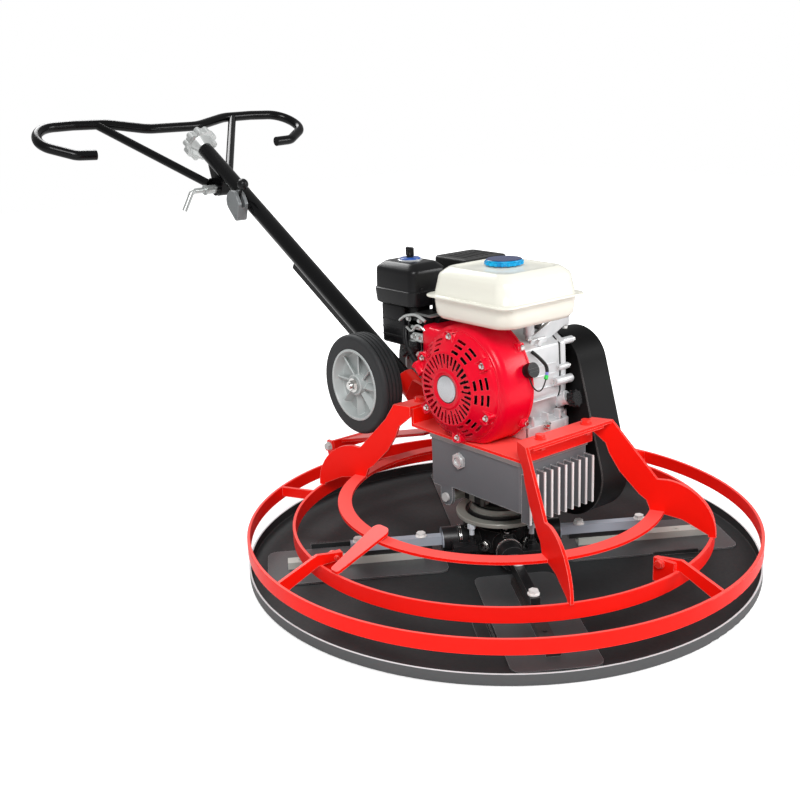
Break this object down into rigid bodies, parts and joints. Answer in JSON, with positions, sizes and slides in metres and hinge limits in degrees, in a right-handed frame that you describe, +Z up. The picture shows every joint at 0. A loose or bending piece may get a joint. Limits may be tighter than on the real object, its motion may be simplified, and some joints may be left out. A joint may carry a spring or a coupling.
{
  "type": "power trowel",
  "caption": "Walk-behind power trowel: blades on a spinning spider over a float pan, guard rings, gearbox, engine, handle with pitch wheel.",
  "frame": {"origin": "on the rotor's axis at the underside of the float pan, on the ground", "axes": "+Z up along the rotor's axis; +Y backwards to the handle and the operator; +X to the belt guard side, so -X is the recoil starter's side"},
  "size_m": [1, 1.7877, 0.8508],
  "materials": {
    "red_frame": "semi-gloss powder coat",
    "gearbox_grey": "satin paint on cast iron",
    "bearing_steel": "ground",
    "plated_bolts": "zinc plated",
    "black_tube": "gloss powder coat",
    "plated_control": "bright zinc",
    "control_grey": "as cast",
    "black_plastic": "satin",
    "cable_steel": "wire",
    "lead_black": "matt",
    "guard_black": "satin paint on pressed steel",
    "belt_rubber": "matt",
    "pulley_iron": "turned",
    "engine_alloy": "as cast",
    "engine_red": "gloss enamel",
    "tank_ivory": "gloss enamel",
    "cap_blue": "satin",
    "exhaust_black": "heat-proof paint",
    "pan_steel": "dark mill scale",
    "blade_steel": "blued spring steel",
    "arm_steel": "plated",
    "thrust_steel": "turned",
    "tyre_black": "matt",
    "hub_grey": "satin moulded"
  },
  "bodies": {
    "frame": {"gearbox_housing": "gearbox_grey", "gearbox_cover": "gearbox_grey", "gearbox_bearings": "bearing_steel", "oil_plugs": "plated_bolts", "engine_base_plate": "red_frame", "front_arch": "red_frame", "rear_arch": "red_frame", "inner_ring": "red_frame", "middle_ring": "red_frame", "outer_ring": "red_frame", "ring_brackets": "red_frame", "frame_bolts": "plated_bolts", "handle_socket": "red_frame", "handle_tube": "black_tube", "pitch_cable": "cable_steel", "throttle_box": "control_grey", "wheel_axle": "plated_bolts", "belt_guard_back": "guard_black", "belt_guard_cover": "guard_black", "v_belt": "belt_rubber", "crankcase": "engine_alloy", "crankcase_cover": "engine_alloy", "cylinder_head": "engine_alloy", "fan_shroud": "engine_red", "recoil_cover": "engine_red", "switch_lead": "lead_black", "fuel_tank": "tank_ivory", "air_cleaner": "black_plastic", "carburettor": "engine_alloy", "muffler": "exhaust_black"},
    "worm": {"worm_shaft": "bearing_steel", "driven_pulley": "pulley_iron"},
    "crank": {"crankshaft": "bearing_steel", "flywheel_fan": "pulley_iron", "clutch_pulley": "pulley_iron"},
    "rotor": {"output_shaft": "bearing_steel", "worm_wheel": "bearing_steel", "spider_hub": "guard_black"},
    "pan": {"float_pan": "pan_steel"},
    "thrust": {"thrust_bearing": "thrust_steel"},
    "yoke": {"pitch_yoke": "thrust_steel"},
    "pitch_wheel": {"pitch_handwheel": "plated_control"},
    "wheel_left": {"tyre_left": "tyre_black", "wheel_hub_left": "hub_grey"},
    "wheel_right": {"tyre_right": "tyre_black", "wheel_hub_right": "hub_grey"},
    "operator_bar": {"handlebar": "black_tube"},
    "clamp": {"clamp_crank": "plated_control"},
    "throttle": {"throttle_lever": "black_plastic"},
    "starter": {"starter_grip": "black_plastic"},
    "cap": {"fuel_cap": "cap_blue"},
    "switch": {"stop_switch": "black_plastic"},
    "arm_1": {"trowel_arm_1": "arm_steel", "trowel_blade_1": "blade_steel"},
    "arm_2": {"trowel_arm_2": "arm_steel", "trowel_blade_2": "blade_steel"},
    "arm_3": {"trowel_arm_3": "arm_steel", "trowel_blade_3": "blade_steel"},
    "arm_4": {"trowel_arm_4": "arm_steel", "trowel_blade_4": "blade_steel"}
  },
  "joints": [
    {"name": "rotor_spin", "type": "hinge", "parent": "frame", "child": "rotor", "pos_m": [0, 0, 0], "axis": [0, 0, 1], "continuous": true},
    {"name": "worm_spin", "type": "hinge", "parent": "frame", "child": "worm", "pos_m": [0, -0.052, 0.2], "axis": [1, 0, 0], "continuous": true},
    {"name": "crank_spin", "type": "hinge", "parent": "frame", "child": "crank", "pos_m": [0, 0.012, 0.364], "axis": [1, 0, 0], "continuous": true},
    {"name": "pitch_turn", "type": "hinge", "parent": "frame", "child": "pitch_wheel", "pos_m": [0, 1.072, 0.76482], "axis": [0, 0.8639, 0.5036], "range_deg": [0, 1080]},
    {"name": "pan_drop", "type": "slide", "parent": "rotor", "child": "pan", "axis": [0, 0, -1], "range_m": [0, 0.01345]},
    {"name": "thrust_slide", "type": "slide", "parent": "frame", "child": "thrust", "axis": [0, 0, -1], "range_m": [0, 0.007]},
    {"name": "yoke_swing", "type": "hinge", "parent": "frame", "child": "yoke", "pos_m": [0, 0.058, 0.128], "axis": [1, 0, 0], "range_deg": [0, 6.9]},
    {"name": "arm_pitch_1", "type": "hinge", "parent": "rotor", "child": "arm_1", "pos_m": [0, 0, 0.04], "axis": [0.5329, 0.8462, 0], "range_deg": [-10.01, 0]},
    {"name": "arm_pitch_2", "type": "hinge", "parent": "rotor", "child": "arm_2", "pos_m": [0, 0, 0.04], "axis": [-0.8462, 0.5329, 0], "range_deg": [-10.01, 0]},
    {"name": "arm_pitch_3", "type": "hinge", "parent": "rotor", "child": "arm_3", "pos_m": [0, 0, 0.04], "axis": [-0.5329, -0.8462, 0], "range_deg": [-10.01, 0]},
    {"name": "arm_pitch_4", "type": "hinge", "parent": "rotor", "child": "arm_4", "pos_m": [0, 0, 0.04], "axis": [0.8462, -0.5329, 0], "range_deg": [-10.01, 0]},
    {"name": "wheel_spin_left", "type": "hinge", "parent": "frame", "child": "wheel_left", "pos_m": [-0.1, 0.302, 0.31595], "axis": [1, 0, 0], "continuous": true},
    {"name": "wheel_spin_right", "type": "hinge", "parent": "frame", "child": "wheel_right", "pos_m": [0.1, 0.302, 0.31595], "axis": [1, 0, 0], "continuous": true},
    {"name": "handlebar_tilt", "type": "hinge", "parent": "frame", "child": "operator_bar", "pos_m": [0, 1.002, 0.672], "axis": [1, 0, 0], "range_deg": [-60, 18]},
    {"name": "clamp_turn", "type": "hinge", "parent": "frame", "child": "clamp", "pos_m": [0, 1.002, 0.672], "axis": [1, 0, 0], "range_deg": [-180, 180]},
    {"name": "throttle_swing", "type": "hinge", "parent": "frame", "child": "throttle", "pos_m": [-0.032, 0.88, 0.644], "axis": [1, 0, 0], "range_deg": [-60, 0]},
    {"name": "starter_pull", "type": "slide", "parent": "frame", "child": "starter", "axis": [0, 0.722, 0.6919], "range_m": [0, 0.06], "stiffness_N_per_m": 60, "springref_m": -0.02},
    {"name": "fuel_cap_turn", "type": "hinge", "parent": "frame", "child": "cap", "pos_m": [-0.002, -0.0205, 0.59], "axis": [0, 0, 1], "range_deg": [0, 90]},
    {"name": "stop_switch_turn", "type": "hinge", "parent": "frame", "child": "switch", "pos_m": [-0.024, -0.09832, 0.39985], "axis": [0, -0.9511, 0.309], "range_deg": [0, 45]}
  ],
  "couplings": [
    {"joint": "worm_spin", "follows": "rotor_spin", "ratio": -20},
    {"joint": "crank_spin", "follows": "rotor_spin", "ratio": -27.5},
    {"joint": "pan_drop", "follows": "pitch_turn", "m_per_rad": 0.00071301},
    {"joint": "thrust_slide", "follows": "pitch_turn", "m_per_rad": 0.0003703},
    {"joint": "yoke_swing", "follows": "pitch_turn", "ratio": 0.0063843},
    {"joint": "arm_pitch_1", "follows": "pitch_turn", "ratio": -0.0092593},
    {"joint": "arm_pitch_2", "follows": "pitch_turn", "ratio": -0.0092593},
    {"joint": "arm_pitch_3", "follows": "pitch_turn", "ratio": -0.0092593},
    {"joint": "arm_pitch_4", "follows": "pitch_turn", "ratio": -0.0092593}
  ]
}
